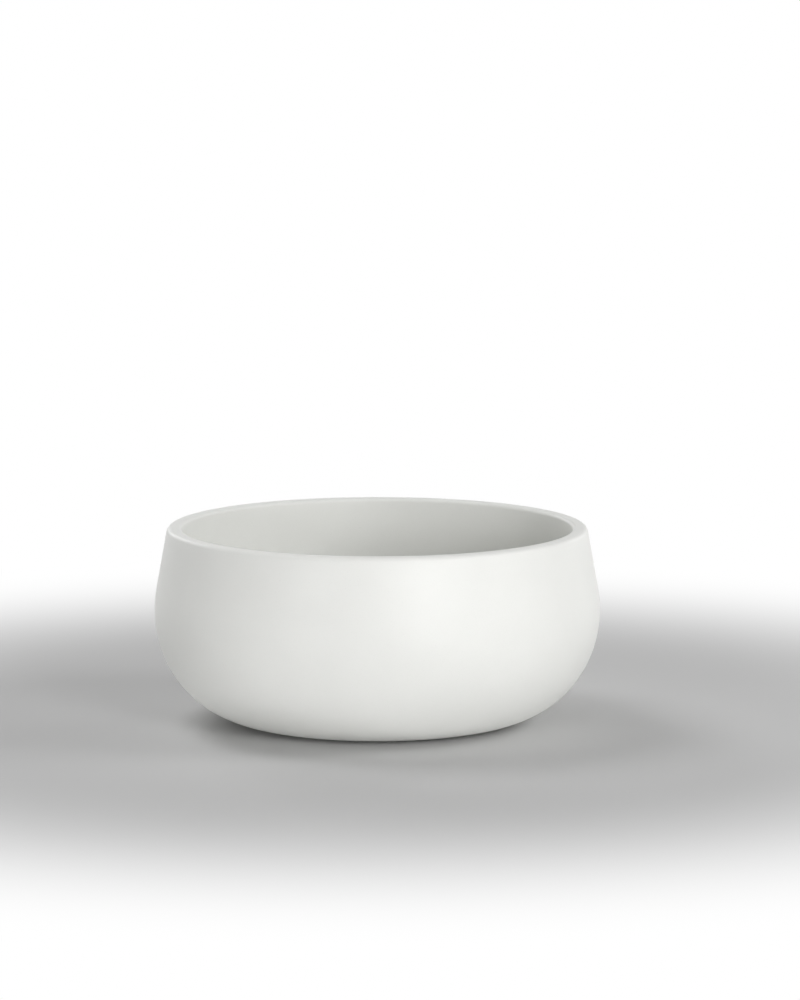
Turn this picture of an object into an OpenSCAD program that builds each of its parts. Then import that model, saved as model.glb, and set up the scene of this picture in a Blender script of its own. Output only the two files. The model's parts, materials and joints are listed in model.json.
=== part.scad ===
// Round countertop basin in matt cast stone, with a press-to-close basin waste.
// Millimetres, Z up, front towards -Y. The origin is the centre of the foot on the worktop.
// Everything is drawn with the waste open, its plug raised.

/* [Bowl] */
// Widest diameter of the bowl
bowl_diameter = 400; // [360:1:440]
// Height of the rim above the worktop
bowl_height = 176; // [164:0.5:196]
// Height of the widest line above the worktop
belly_height = 101; // [91:0.5:113]
// Diameter where the bowl meets its foot
foot_diameter = 215; // [204:1:240]
// Lean of the upper wall from upright, in degrees
wall_lean = 10.2; // [7:0.1:13]
// Height over which the belly turns into the straight upper wall
shoulder_height = 20; // [8:0.5:32]
// Width of the rim from outside to inside
rim_width = 13.6; // [11:0.1:17]
// Radius of the outer edge of the rim
rim_outer_radius = 4.7; // [2.5:0.1:6]
// Radius of the inner edge of the rim
rim_inner_radius = 3; // [1:0.1:4]
// Height of the inner floor at the waste
floor_height = 36; // [34:0.5:44]
// Rise of the inner floor away from the waste, mm in 100 mm
floor_fall = 3; // [1:0.25:5]
// Radius at which the inner floor starts to sweep up
floor_radius = 95; // [80:1:110]

/* [Underside] */
// Gap between the foot and the worktop, filled by the seal ring
foot_gap = 1.5; // [1:0.1:2.5]
// Width of the foot's landing
foot_land = 22; // [20:0.5:28]
// Distance from the foot's edge to the seal ring
seal_inset = 3; // [2:0.25:3.5]
// Width of the seal ring
seal_width = 15; // [8:0.5:16]
// Depth of the seal ring's groove
seal_groove_depth = 1.5; // [1:0.1:2]
// Height of the ceiling of the recess under the bowl
recess_height = 18; // [17:0.25:20]
// Radius between the recess wall and its ceiling
recess_fillet = 5; // [2:0.5:8]
// Taper of the recess wall, mm over its height
recess_draft = 1.5; // [0.5:0.1:3]

/* [Waste body] */
// Diameter of the hole in the bowl
drain_hole = 46; // [45.2:0.1:48]
// Diameter of the waste's flange
flange_diameter = 64; // [58:0.5:70]
// Thickness of the flange
flange_thickness = 3.5; // [3:0.1:4.5]
// Outer diameter of the body's thread
thread_diameter = 41.91; // [40.8:0.01:42.6]
// Diameter of the water way
waste_bore = 36.6; // [34:0.1:37.4]
// Diameter of the flare at the top of the water way
flare_diameter = 49; // [44:0.5:52]
// Depth of the flare
flare_depth = 4.5; // [3:0.1:5]
// Length of the tail below the worktop
tail_length = 46; // [40:1:70]
// Chamfer at the end of the tail
tail_chamfer = 1; // [0.5:0.1:1.2]
// Depth of the groove where the thread runs out
relief_depth = 1.1; // [0.6:0.05:1.3]
// Width of that groove
relief_width = 2; // [1.5:0.1:3]
// Diameter of the hub that carries the cartridge
hub_diameter = 19; // [18:0.1:21]
// Height of the hub and its arms
hub_height = 8; // [6:0.5:10]
// Thickness of each arm
arm_thickness = 3.5; // [2.5:0.1:5]
// Number of arms
arm_count = 4; // [3:1:6]

/* [Gaskets and back nut] */
// Thickness of the gasket under the flange
flange_gasket_thickness = 1.5; // [1:0.1:2]
// Thickness of the gasket under the bowl
bowl_gasket_thickness = 3; // [2:0.1:4]
// Outer diameter of the gasket under the bowl
bowl_gasket_diameter = 62; // [56:0.5:72]
// Thickness of the slip washer
slip_washer_thickness = 1.5; // [1:0.1:2]
// Outer diameter of the slip washer
slip_washer_diameter = 60; // [54:0.5:70]
// Back nut across its flats
nut_across_flats = 52; // [49:0.5:58]
// Height of the back nut
nut_height = 9; // [7:0.25:9.5]

/* [Plug] */
// How far the raised cap drops until the waste is closed
plug_stroke = 9; // [8.5:0.1:9.5]
// Extra press past the closed height that frees the catch
over_travel = 2; // [1.9:0.05:2.3]
// How far the cap reaches past the flange all round
cap_overhang = 2; // [1:0.1:3]
// Height of the cap's edge
cap_edge_height = 5; // [4.5:0.1:7]
// Rise of the cap's dome above its edge
cap_dome = 4.5; // [2:0.1:7]
// Radius of the cap's edges
cap_edge_radius = 1.5; // [0.6:0.1:2]
// Diameter of the insert's disc
insert_disc_diameter = 31.6; // [28:0.1:40]
// Thickness of the insert's disc
insert_disc_thickness = 3; // [2:0.1:3.5]
// Diameter of the insert's neck
insert_neck_diameter = 24; // [20:0.1:26]
// Thickness of the lips that hold the seal
seal_lip_thickness = 1.2; // [0.8:0.1:1.4]
// Height of the plug's seal
plug_seal_height = 3; // [2.5:0.1:3.2]
// Diameter of the rod's threaded end
stud_diameter = 8; // [7.6:0.1:9]
// Jam nut across its flats
jam_nut_across_flats = 13; // [12.5:0.1:15]
// Height of the jam nut
jam_nut_height = 4; // [3:0.1:5]

/* [Cartridge] */
// Distance from the inner floor down to the top of the barrel
barrel_drop = 15.5; // [15.5:0.1:18]
// Outer diameter of the barrel
barrel_diameter = 21; // [20:0.1:22]
// Wall of the barrel
barrel_wall = 2.5; // [1.8:0.1:2.6]
// Thickness of the barrel's top
barrel_top = 2.5; // [2.2:0.1:3.2]
// Diameter of the push rod
rod_diameter = 7; // [6:0.1:7.2]
// Section of the wiper ring round the rod
wiper_section = 1.4; // [1:0.05:1.6]
// Length of the rod's crown
crown_length = 4; // [3:0.1:5]
// Height of the crown's and the rotor's teeth
tooth_height = 1.2; // [0.8:0.05:1.3]
// Diameter of the pilot pin under the crown
pilot_diameter = 4.6; // [3.6:0.1:5]
// Length of the pilot pin
pilot_length = 5; // [3:0.1:5.5]
// Width of the ribs that run in the slots
rib_width = 2; // [1.6:0.05:2.2]
// Height of the rotor's ribs
rotor_rib_height = 4; // [3:0.1:5]
// Height of the spigots inside the spring's ends
spigot_height = 3; // [2:0.1:3.5]
// Height of the rotor's collar under its ribs
rotor_collar_height = 2; // [1.5:0.1:3]
// Wall of the guide sleeve behind its slots
sleeve_wall = 0.9; // [0.7:0.05:1]
// How far the sleeve's lands stand in from the slots
land_depth = 1.4; // [1.1:0.05:1.5]
// Height of the cam teeth on the sleeve's lower end
cam_rise = 1.7; // [1.2:0.05:1.75]
// Space for the spring in the open waste
spring_space = 20.5; // [19:0.1:22]
// Wire of the return spring
spring_wire = 1; // [0.8:0.05:1.05]
// How far the spring stands in from the rotor's edge
spring_inset = 0.3; // [0.1:0.05:0.5]
// Coils of the spring
spring_coils = 6.5; // [5:0.5:7]
// Height of the base's plug inside the barrel
base_plug_height = 5; // [4:0.1:7]
// Thickness of the base's flange
base_flange_thickness = 2; // [1.5:0.1:3]
// Diameter of the base's threaded stub
stub_diameter = 12; // [10:0.1:13]
// Height of the nut under the hub
cartridge_nut_height = 4; // [3:0.1:5]
// That nut across its flats
cartridge_nut_across_flats = 17; // [16:0.1:19]

/* [Clearances] */
// Between a thread and the nut on it, on the radius
thread_clearance = 0.1; // [0.05:0.01:0.15]
// Between pieces that slide on each other, on the radius
slide_clearance = 0.2; // [0.15:0.01:0.25]
// Between a ring and the pipe through it, on the radius
gasket_clearance = 0.25; // [0.15:0.01:0.3]
// Between the plug's seal and the water way, on the radius
seal_clearance = 0.3; // [0.2:0.01:0.4]
// Between the flange and the wall of its seat, on the radius
seat_clearance = 0.6; // [0.3:0.05:0.8]
// Between pieces that meet at the end of the plug's travel
stop_clearance = 0.3; // [0.2:0.01:0.4]

/* [Hidden] */

$fn = 120;
cut = 1;
sweep_steps = 36;
edge_steps = 6;

// the cam needs two teeth for each rib
rib_count = 4;
tooth_count = 2 * rib_count;
cam_angle = 360 / tooth_count;

stone = [0.87, 0.865, 0.85];
chrome = [0.80, 0.81, 0.82];
brass = [0.74, 0.62, 0.36];
rubber = [0.13, 0.13, 0.14];
nylon = [0.90, 0.90, 0.87];
acetal = [0.20, 0.22, 0.25];
steel = [0.62, 0.63, 0.65];

// bowl radii
belly_r = bowl_diameter / 2;
foot_r = foot_diameter / 2;
inner_belly_r = belly_r - rim_width;
recess_r = foot_r - foot_land;
seal_out_r = foot_r - seal_inset;
seal_in_r = seal_out_r - seal_width;
hole_r = drain_hole / 2;
flange_r = flange_diameter / 2;
seat_r = flange_r + seat_clearance;

// heights down through the bowl
seat_z = floor_height - flange_thickness - flange_gasket_thickness;
flange_z = floor_height - flange_thickness;
washer_z = recess_height - bowl_gasket_thickness - slip_washer_thickness;
nut_z = washer_z - nut_height;

// waste body
thread_r = thread_diameter / 2;
bore_r = waste_bore / 2;
neck_r = hole_r - 0.4;
relief_r = thread_r - relief_depth;
flare_r = flare_diameter / 2;
relief_top = nut_z - 1.5;
ring_in_r = thread_r + gasket_clearance;

// plug, raised
travel = plug_stroke + over_travel;
barrel_z = floor_height - barrel_drop;
barrel_ceiling = barrel_z - barrel_top;
jam_nut_z = barrel_z + travel + 2 * stop_clearance;
insert_z = jam_nut_z + jam_nut_height;
seal_z = insert_z + seal_lip_thickness;
cap_z = floor_height + stop_clearance + travel;
cap_r = flange_r + cap_overhang;
insert_disc_r = insert_disc_diameter / 2;
insert_neck_r = insert_neck_diameter / 2;
plug_seal_r = bore_r - seal_clearance;
lip_r = plug_seal_r - 2.5;
stud_r = stud_diameter / 2;
stud_top = cap_z - 1.5;
rod_r = rod_diameter / 2;

// cartridge
barrel_r = barrel_diameter / 2;
barrel_in_r = barrel_r - barrel_wall;
sleeve_r = barrel_in_r - thread_clearance;
slot_r = sleeve_r - sleeve_wall;
land_r = slot_r - land_depth;
rib_r = slot_r - slide_clearance;
crown_r = land_r - slide_clearance;
crown_top = barrel_ceiling - slide_clearance;
crown_z = crown_top - crown_length;
rib_top = crown_z - stop_clearance;
rib_z = rib_top - rotor_rib_height;
rotor_z = rib_z - rotor_collar_height;
rotor_deck = crown_z - 2 * tooth_height + 0.2;
closed_z = rib_top - plug_stroke;
cam_z = closed_z - cam_rise;
slot_w = rib_width + 2 * slide_clearance;
cam_run = (land_r + slot_r) * sin(cam_angle / 2);
pilot_r = pilot_diameter / 2;
base_z = rotor_z - spring_space;
barrel_bottom = base_z - base_plug_height;
hub_top = barrel_bottom - base_flange_thickness;
hub_z = hub_top - hub_height;
stub_r = stub_diameter / 2;
spring_r = crown_r - spring_inset - spring_wire / 2;
boss_r = spring_r - spring_wire / 2 - slide_clearance;
wiper_r = rod_r + 0.1 + wiper_section / 2;

// points on an arc about c, angles in degrees
function arc(c, r, from, to, steps) =
    [for (i = [0:steps]) let (a = from + (to - from) * i / steps) c + r * [cos(a), sin(a)]];

// how far the upper wall has come in at a height d above the belly
function lean_in(d) = let (t = tan(wall_lean), b = shoulder_height)
    d < b ? t * d * d / (2 * b) : t * (d - b / 2);

// height of the inner floor at a radius, before it sweeps up
function floor_at(r) = floor_height + (r - seat_r) * floor_fall / 100;

function outer_sweep() = [for (i = [0:sweep_steps]) let (a = 90 * i / sweep_steps)
    [foot_r + (belly_r - foot_r) * sin(a), belly_height - (belly_height - foot_gap) * cos(a)]];

function inner_sweep() = [for (i = [sweep_steps:-1:0])
    let (a = 90 * i / sweep_steps, r = floor_radius + (inner_belly_r - floor_radius) * sin(a))
    [r, floor_at(r) + (belly_height - floor_at(inner_belly_r)) * (1 - cos(a))]];

// the wall's line above the belly, at a depth in from the outside
function wall_at(z, depth) = [belly_r - depth - lean_in(z - belly_height), z];

function shoulder(depth) = [for (i = [1:edge_steps])
    wall_at(belly_height + shoulder_height * i / edge_steps, depth)];

function reversed(p) = [for (i = [len(p) - 1:-1:0]) p[i]];

function rim_edge() = let (
        o = rim_outer_radius, n = rim_inner_radius, l = wall_lean,
        outer = wall_at(bowl_height - o + o * sin(l), 0),
        inner = wall_at(bowl_height - n - n * sin(l), rim_width))
    concat(
        arc([outer[0] - o * cos(l), bowl_height - o], o, l, 90, edge_steps + 2),
        arc([inner[0] + n * cos(l), bowl_height - n], n, 90, 180 + l, edge_steps));

module bowl() {
    lead = 0.6;
    draft_r = recess_r - recess_draft;
    color(stone) rotate_extrude() polygon(concat(
        outer_sweep(), shoulder(0), rim_edge(), reversed(shoulder(rim_width)), inner_sweep(),
        [[seat_r + lead, floor_at(seat_r + lead)], [seat_r, floor_height - lead], [seat_r, seat_z],
            [hole_r, seat_z], [hole_r, recess_height]],
        arc([draft_r - recess_fillet, recess_height - recess_fillet], recess_fillet, 90, 0,
            edge_steps),
        [[recess_r, foot_gap], [seal_in_r - slide_clearance, foot_gap],
            [seal_in_r - slide_clearance, foot_gap + seal_groove_depth],
            [seal_out_r + slide_clearance, foot_gap + seal_groove_depth],
            [seal_out_r + slide_clearance, foot_gap]]));
}

// flat ring with its four edges broken
module ring(out_r, in_r, height, edge) {
    rotate_extrude() polygon([[in_r + edge, 0], [out_r - edge, 0], [out_r, edge],
        [out_r, height - edge], [out_r - edge, height], [in_r + edge, height],
        [in_r, height - edge], [in_r, edge]]);
}

module foot_seal_ring() {
    color(rubber) ring(seal_out_r, seal_in_r, foot_gap + seal_groove_depth, 0.4);
}

// hexagon nut with a chamfered corner at both faces
module hex_nut(across, height, bore) {
    corner = across / 2 / cos(30);
    face = across / 2 * 0.98;
    lead = (corner - face) * tan(30);
    difference() {
        intersection() {
            cylinder(r = corner, h = height, $fn = 6);
            rotate_extrude() polygon([[0, 0], [face, 0], [corner, lead],
                [corner, height - lead], [face, height], [0, height]]);
        }
        translate([0, 0, -cut]) cylinder(r = bore, h = height + 2 * cut);
        translate([0, 0, -cut]) cylinder(r1 = bore + 0.5 + cut, r2 = bore, h = 0.5 + cut);
    }
}

module waste_shell() {
    edge = 1;
    rotate_extrude() polygon(concat(
        [[flare_r, floor_height]],
        arc([flange_r - edge, floor_height - edge], edge, 90, 0, edge_steps),
        [[flange_r, flange_z], [neck_r, flange_z], [neck_r, seat_z - 2.5],
            [thread_r, seat_z - 2.5 - (neck_r - thread_r)],
            [thread_r, relief_top], [relief_r, relief_top - 0.4],
            [relief_r, relief_top - relief_width + 0.4], [thread_r, relief_top - relief_width],
            [thread_r, tail_chamfer - tail_length], [thread_r - tail_chamfer, -tail_length],
            [bore_r, -tail_length], [bore_r, floor_height - flare_depth]]));
}

module waste_body() {
    hub_r = hub_diameter / 2;
    root = 1.5;
    color(chrome) {
        waste_shell();
        translate([0, 0, hub_z]) {
            rotate_extrude() translate([stub_r + thread_clearance, 0])
                square([hub_r - stub_r - thread_clearance, hub_height]);
            for (i = [0:arm_count - 1]) rotate(i * 360 / arm_count + 45)
                translate([hub_r - root, -arm_thickness / 2, 0])
                    cube([bore_r - hub_r + root + 0.5, arm_thickness, hub_height]);
        }
    }
}

module flange_gasket() {
    color(rubber) translate([0, 0, seat_z])
        ring(flange_r - 0.5, neck_r + slide_clearance, flange_gasket_thickness, 0.2);
}

module bowl_gasket() {
    color(rubber) translate([0, 0, recess_height - bowl_gasket_thickness])
        ring(bowl_gasket_diameter / 2, ring_in_r, bowl_gasket_thickness, 0.4);
}

module slip_washer() {
    color(nylon) translate([0, 0, washer_z])
        ring(slip_washer_diameter / 2, ring_in_r, slip_washer_thickness, 0.2);
}

module back_nut() {
    color(brass) translate([0, 0, nut_z])
        hex_nut(nut_across_flats, nut_height, thread_r + thread_clearance);
}

// shallow dome over a straight edge, with a pocket for the insert
module plug_cap() {
    e = cap_edge_radius;
    w = cap_r - e;
    dome_r = (w * w + cap_dome * cap_dome) / (2 * cap_dome);
    dome_z = cap_z + cap_edge_height + cap_dome - dome_r;
    tilt = asin(w / (dome_r - e));
    pocket_r = insert_disc_r + slide_clearance;
    color(stone) rotate_extrude() polygon(concat(
        [[pocket_r, cap_z], [cap_r - 0.5, cap_z], [cap_r, cap_z + 0.5]],
        arc([w, dome_z + (dome_r - e) * cos(tilt)], e, 0, 90 - tilt, edge_steps),
        arc([0, dome_z], dome_r, 90 - tilt, 90, 3 * edge_steps),
        [[0, cap_z + insert_disc_thickness], [pocket_r, cap_z + insert_disc_thickness]]));
}

module cap_insert() {
    lip_top = seal_z + plug_seal_height;
    color(brass) rotate_extrude() polygon([
        [0, stud_top], [stud_r + thread_clearance, stud_top], [stud_r + thread_clearance, insert_z],
        [lip_r, insert_z], [lip_r, seal_z], [insert_neck_r, seal_z], [insert_neck_r, lip_top],
        [lip_r, lip_top], [lip_r, lip_top + seal_lip_thickness],
        [insert_neck_r, lip_top + seal_lip_thickness + 0.8], [insert_neck_r, cap_z],
        [insert_disc_r, cap_z], [insert_disc_r, cap_z + insert_disc_thickness],
        [0, cap_z + insert_disc_thickness]]);
}

// lip seal: a flat body between the insert's lips and a tapered edge outside them
module plug_seal() {
    h = plug_seal_height;
    in_r = insert_neck_r + 0.05;
    color(rubber) translate([0, 0, seal_z]) rotate_extrude() polygon([
        [in_r, 0], [lip_r + 0.6, 0], [plug_seal_r, h * 0.3], [plug_seal_r, h * 0.55],
        [lip_r + 0.8, h], [in_r, h]]);
}

module jam_nut() {
    color(steel) translate([0, 0, jam_nut_z])
        hex_nut(jam_nut_across_flats, jam_nut_height, stud_r + thread_clearance);
}

// radial wedge-shaped teeth on a flat ring, pointing up
module crown_teeth(out_r, in_r) {
    half = out_r * sin(cam_angle / 2) * 1.08;
    intersection() {
        difference() {
            translate([0, 0, -0.5]) cylinder(r = out_r, h = tooth_height + 1);
            translate([0, 0, -cut]) cylinder(r = in_r, h = tooth_height + 2 * cut + 1);
        }
        union() {
            for (i = [0:tooth_count - 1]) rotate(i * cam_angle) rotate([90, 0, 90])
                linear_extrude(height = out_r + 1) polygon([[-half, -0.5], [half, -0.5], [half, 0],
                    [0, tooth_height], [-half, 0]]);
        }
    }
}

// four ribs from the core out to a radius, with a top that slants by drop; above the core's
// deck they stand free of it, so that the teeth on the deck have room
module ribs(radius, core_r, height, drop, deck) {
    free_r = core_r + slide_clearance;
    root_r = core_r - 0.6;
    intersection() {
        rotate_extrude() polygon(deck < height
            ? [[root_r, 0], [radius, 0], [radius, height], [free_r, height], [free_r, deck - 0.3],
                [root_r, deck - 0.3]]
            : [[root_r, 0], [radius, 0], [radius, height], [root_r, height]]);
        union() {
            for (i = [0:rib_count - 1]) rotate(2 * cam_angle * i) rotate([90, 0, 90])
                translate([0, 0, core_r - 1])
                    linear_extrude(height = radius) polygon([[-rib_width / 2, 0],
                        [rib_width / 2, 0], [rib_width / 2, height], [-rib_width / 2, height - drop]]);
        }
    }
}

module push_rod() {
    color(steel) {
        translate([0, 0, jam_nut_z]) cylinder(r = stud_r, h = stud_top - jam_nut_z);
        translate([0, 0, crown_top]) cylinder(r = rod_r, h = jam_nut_z - crown_top);
        translate([0, 0, crown_z]) cylinder(r = crown_r, h = crown_length);
        translate([0, 0, crown_z - pilot_length]) cylinder(r = pilot_r, h = pilot_length);
        translate([0, 0, crown_z]) ribs(rib_r, crown_r, crown_length, 0, crown_length);
        translate([0, 0, crown_z]) rotate([180, 0, 0]) crown_teeth(crown_r - 0.1, pilot_r - 0.1);
    }
}

// how far the cam's slope drops across one rib
rib_drop = cam_rise * rib_width / cam_run;

module index_rotor() {
    bore = pilot_r + slide_clearance;
    bore_z = crown_z - pilot_length - stop_clearance;
    color(acetal) {
        rotate_extrude() polygon([[0, rotor_z - spigot_height], [boss_r - 0.5, rotor_z - spigot_height],
            [boss_r, rotor_z - spigot_height + 0.5], [boss_r, rotor_z], [crown_r, rotor_z],
            [crown_r, rotor_deck], [bore, rotor_deck], [bore, bore_z], [0, bore_z]]);
        translate([0, 0, rotor_deck]) rotate(cam_angle / 4) crown_teeth(crown_r - 0.1, bore + 0.15);
        translate([0, 0, rib_z])
            ribs(rib_r, crown_r, rotor_rib_height, rib_drop, rotor_deck - rib_z);
    }
}

// helix of the spring as rings of points, open at both ends
spring_turn_steps = 18;
spring_sides = 8;
spring_rings = round(spring_coils * spring_turn_steps);
spring_low = base_z + spring_wire / 2;
spring_high = rotor_z - spring_wire / 2;
spring_pitch = (spring_high - spring_low) / spring_coils;

function spring_point(i, a) = let (
        turn = i / spring_turn_steps,
        r = spring_r + spring_wire / 2 * cos(a))
    [r * cos(360 * turn), r * sin(360 * turn),
        spring_low + (spring_high - spring_low) * i / spring_rings + spring_wire / 2 * sin(a)];

spring_points = [for (i = [0:spring_rings]) for (k = [0:spring_sides - 1])
    spring_point(i, 360 * k / spring_sides)];

// least distance between points one turn apart
spring_gap = min([for (i = [0:spring_rings - spring_turn_steps]) for (k = [0:spring_sides - 1])
    norm(spring_points[(i + spring_turn_steps) * spring_sides + (spring_sides * 3 / 4)]
        - spring_points[i * spring_sides + k])]);

module return_spring() {
    n = spring_sides;
    last = spring_rings * n;
    echo(spring_gap = spring_gap);
    color(steel) polyhedron(points = spring_points, faces = concat(
        [for (k = [1:n - 2]) [0, k, k + 1]],
        [for (k = [1:n - 2]) [last, last + k + 1, last + k]],
        [for (i = [0:spring_rings - 1]) for (k = [0:n - 1])
            [i * n + k, (i + 1) * n + k, (i + 1) * n + (k + 1) % n]],
        [for (i = [0:spring_rings - 1]) for (k = [0:n - 1])
            [i * n + k, (i + 1) * n + (k + 1) % n, i * n + (k + 1) % n]]));
}

module cartridge_barrel() {
    groove_z = barrel_z - barrel_top / 2 - wiper_section / 2;
    hole = rod_r + slide_clearance;
    color(brass) rotate_extrude() polygon([
        [barrel_in_r, barrel_bottom], [barrel_r, barrel_bottom], [barrel_r, barrel_z - 1],
        [barrel_r - 1, barrel_z], [hole, barrel_z], [hole, groove_z + wiper_section],
        [wiper_r + wiper_section / 2, groove_z + wiper_section],
        [wiper_r + wiper_section / 2, groove_z], [hole, groove_z], [hole, barrel_ceiling],
        [barrel_in_r, barrel_ceiling]]);
}

module rod_wiper() {
    color(rubber) translate([0, 0, barrel_z - barrel_top / 2])
        rotate_extrude() translate([wiper_r, 0]) circle(d = wiper_section, $fn = 24);
}

// slots for the ribs, with cam teeth between them on the lower end
module guide_sleeve() {
    height = barrel_ceiling - cam_z;
    color(nylon) translate([0, 0, cam_z]) difference() {
        cylinder(r = sleeve_r, h = height);
        translate([0, 0, -cut]) cylinder(r = land_r, h = height + 2 * cut);
        intersection() {
            translate([0, 0, -cut]) cylinder(r = slot_r, h = height + 2 * cut);
            union() {
                for (i = [0:rib_count - 1]) rotate(2 * cam_angle * i)
                    translate([0, -slot_w / 2, -cut]) cube([slot_r + 1, slot_w, height + 2 * cut]);
                // two sloped teeth for each slot: one ends at the catch, one at the next slot
                for (i = [0:tooth_count - 1]) rotate(cam_angle * i) rotate([90, 0, 90])
                    linear_extrude(height = slot_r + 1)
                        polygon([[slot_w / 2, -cut], [slot_w / 2, cam_rise],
                            [slot_w / 2 - cam_run, 0], [slot_w / 2 - cam_run, -cut]]);
            }
        }
    }
}

module cartridge_base() {
    color(brass) difference() {
        union() {
            translate([0, 0, barrel_bottom]) cylinder(r = sleeve_r, h = base_plug_height);
            translate([0, 0, hub_top]) cylinder(r = barrel_r, h = base_flange_thickness);
            translate([0, 0, hub_z - cartridge_nut_height - 1])
                cylinder(r = stub_r, h = hub_top - hub_z + cartridge_nut_height + 1);
            translate([0, 0, base_z - cut]) cylinder(r = boss_r, h = spigot_height + cut);
        }
        translate([0, 0, hub_z - cartridge_nut_height - 2])
            cylinder(r = 1.5, h = base_z - hub_z + cartridge_nut_height + spigot_height + 4);
    }
}

module cartridge_nut() {
    color(brass) translate([0, 0, hub_z - cartridge_nut_height])
        hex_nut(cartridge_nut_across_flats, cartridge_nut_height, stub_r + thread_clearance);
}

bowl();
foot_seal_ring();
waste_body();
flange_gasket();
bowl_gasket();
slip_washer();
back_nut();
plug_cap();
cap_insert();
plug_seal();
jam_nut();
push_rod();
index_rotor();
return_spring();
cartridge_barrel();
guide_sleeve();
cartridge_base();
cartridge_nut();
rod_wiper();
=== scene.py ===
import json
import math

import bpy
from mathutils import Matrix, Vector

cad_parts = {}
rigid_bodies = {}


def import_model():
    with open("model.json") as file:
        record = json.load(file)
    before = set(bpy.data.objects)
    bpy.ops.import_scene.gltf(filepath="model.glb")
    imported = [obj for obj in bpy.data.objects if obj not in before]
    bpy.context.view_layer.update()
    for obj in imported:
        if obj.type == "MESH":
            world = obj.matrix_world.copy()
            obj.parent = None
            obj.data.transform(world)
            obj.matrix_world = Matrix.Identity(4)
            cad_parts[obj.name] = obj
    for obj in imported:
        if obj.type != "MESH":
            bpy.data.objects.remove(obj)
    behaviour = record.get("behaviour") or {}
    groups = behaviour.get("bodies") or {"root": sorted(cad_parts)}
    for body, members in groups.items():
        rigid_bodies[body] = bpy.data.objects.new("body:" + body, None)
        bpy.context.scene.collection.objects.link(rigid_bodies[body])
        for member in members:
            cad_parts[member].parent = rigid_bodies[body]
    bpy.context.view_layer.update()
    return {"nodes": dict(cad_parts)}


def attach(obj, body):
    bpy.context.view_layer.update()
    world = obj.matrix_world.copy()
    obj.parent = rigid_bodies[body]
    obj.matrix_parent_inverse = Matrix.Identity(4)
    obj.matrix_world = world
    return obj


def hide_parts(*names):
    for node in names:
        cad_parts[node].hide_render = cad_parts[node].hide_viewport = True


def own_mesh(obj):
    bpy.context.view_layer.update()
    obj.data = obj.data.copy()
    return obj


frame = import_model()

print("frame loaded:", len(frame["nodes"]), "nodes")

mm = 0.001
mergeGap = 1e-6  # metres: points closer than this become one
fineEdge, smallEdge, softEdge, fullEdge = 0.2, 0.3, 0.4, 0.5  # mm, roundings of turned edges


# small helpers for working in edit mode from code

def deselectAll():
    if bpy.context.object and bpy.context.object.mode != "OBJECT":
        bpy.ops.object.mode_set(mode="OBJECT")
    bpy.ops.object.select_all(action="DESELECT")


def pickOnly(piece):
    deselectAll()
    piece.select_set(True)
    bpy.context.view_layer.objects.active = piece


def editAll(piece):
    pickOnly(piece)
    bpy.ops.object.mode_set(mode="EDIT")
    bpy.ops.mesh.select_mode(type="VERT")
    bpy.ops.mesh.select_all(action="SELECT")


def leaveEdit():
    bpy.ops.object.mode_set(mode="OBJECT")


def settle(piece, name):
    # the place goes into the mesh, so the object stands at the origin, unturned and unscaled
    pickOnly(piece)
    bpy.ops.object.transform_apply(location=True, rotation=True, scale=True)
    piece.name = name
    piece.data.name = name
    return piece


def tidyMesh(piece):
    # loose edges go last, because the turned normals may leave some
    editAll(piece)
    bpy.ops.mesh.remove_doubles(threshold=mergeGap)
    bpy.ops.mesh.normals_make_consistent(inside=False)
    bpy.ops.mesh.delete_loose(use_faces=False)
    leaveEdit()


def smooth(piece, angle):
    pickOnly(piece)
    bpy.ops.object.shade_smooth_by_angle(angle=math.radians(angle))


def applyModifiers(piece):
    pickOnly(piece)
    for modifier in list(piece.modifiers):
        bpy.ops.object.modifier_apply(modifier=modifier.name)


def drawLine(name, points):
    # a chain of edges drawn by extruding one vertex, points in mm as (x, z) or (x, y, z)
    deselectAll()
    bpy.ops.mesh.primitive_plane_add(size=0.01, location=(0, 0, 0))  # merged into one vertex
    line = bpy.context.object
    line.name = name
    editAll(line)
    bpy.ops.mesh.merge(type="CENTER")
    spots = [Vector((p[0], 0, p[1]) if len(p) == 2 else p) * mm for p in points]
    bpy.ops.transform.translate(value=spots[0])
    for here, there in zip(spots, spots[1:]):
        bpy.ops.mesh.extrude_region_move(TRANSFORM_OT_translate={"value": there - here})
    return line


def lathe(name, points, steps=128, closed=True, angle=30):
    # spins a profile of (radius, height) in mm round the bowl's axis
    line = drawLine(name, points + points[:1] if closed else points)
    bpy.ops.mesh.select_all(action="SELECT")
    bpy.ops.mesh.spin(steps=steps, angle=2 * math.pi, center=(0, 0, 0), axis=(0, 0, 1))
    leaveEdit()
    tidyMesh(line)
    smooth(line, angle)
    return settle(line, name)


def arcPoints(x, z, radius, fromAngle, toAngle, steps):
    out = []
    for i in range(steps + 1):
        a = math.radians(fromAngle + (toAngle - fromAngle) * i / steps)
        out.append((x + radius * math.cos(a), z + radius * math.sin(a)))
    return out


def roundedLine(corners, steps=3):
    # corners are (x, z) or (x, z, radius); each with a radius gets a small round
    out = []
    count = len(corners)
    for i, corner in enumerate(corners):
        if len(corner) < 3:
            out.append((corner[0], corner[1]))
            continue
        here = Vector(corner[:2])
        back = (Vector(corners[i - 1][:2]) - here).normalized()
        ahead = (Vector(corners[(i + 1) % count][:2]) - here).normalized()
        half = back.angle(ahead) / 2
        reach = corner[2] / math.tan(half)
        start, end = here + back * reach, here + ahead * reach
        for k in range(steps + 1):
            t = k / steps
            bend = start.lerp(here, t).lerp(here.lerp(end, t), t)
            out.append((bend.x, bend.y))
    return out


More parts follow.
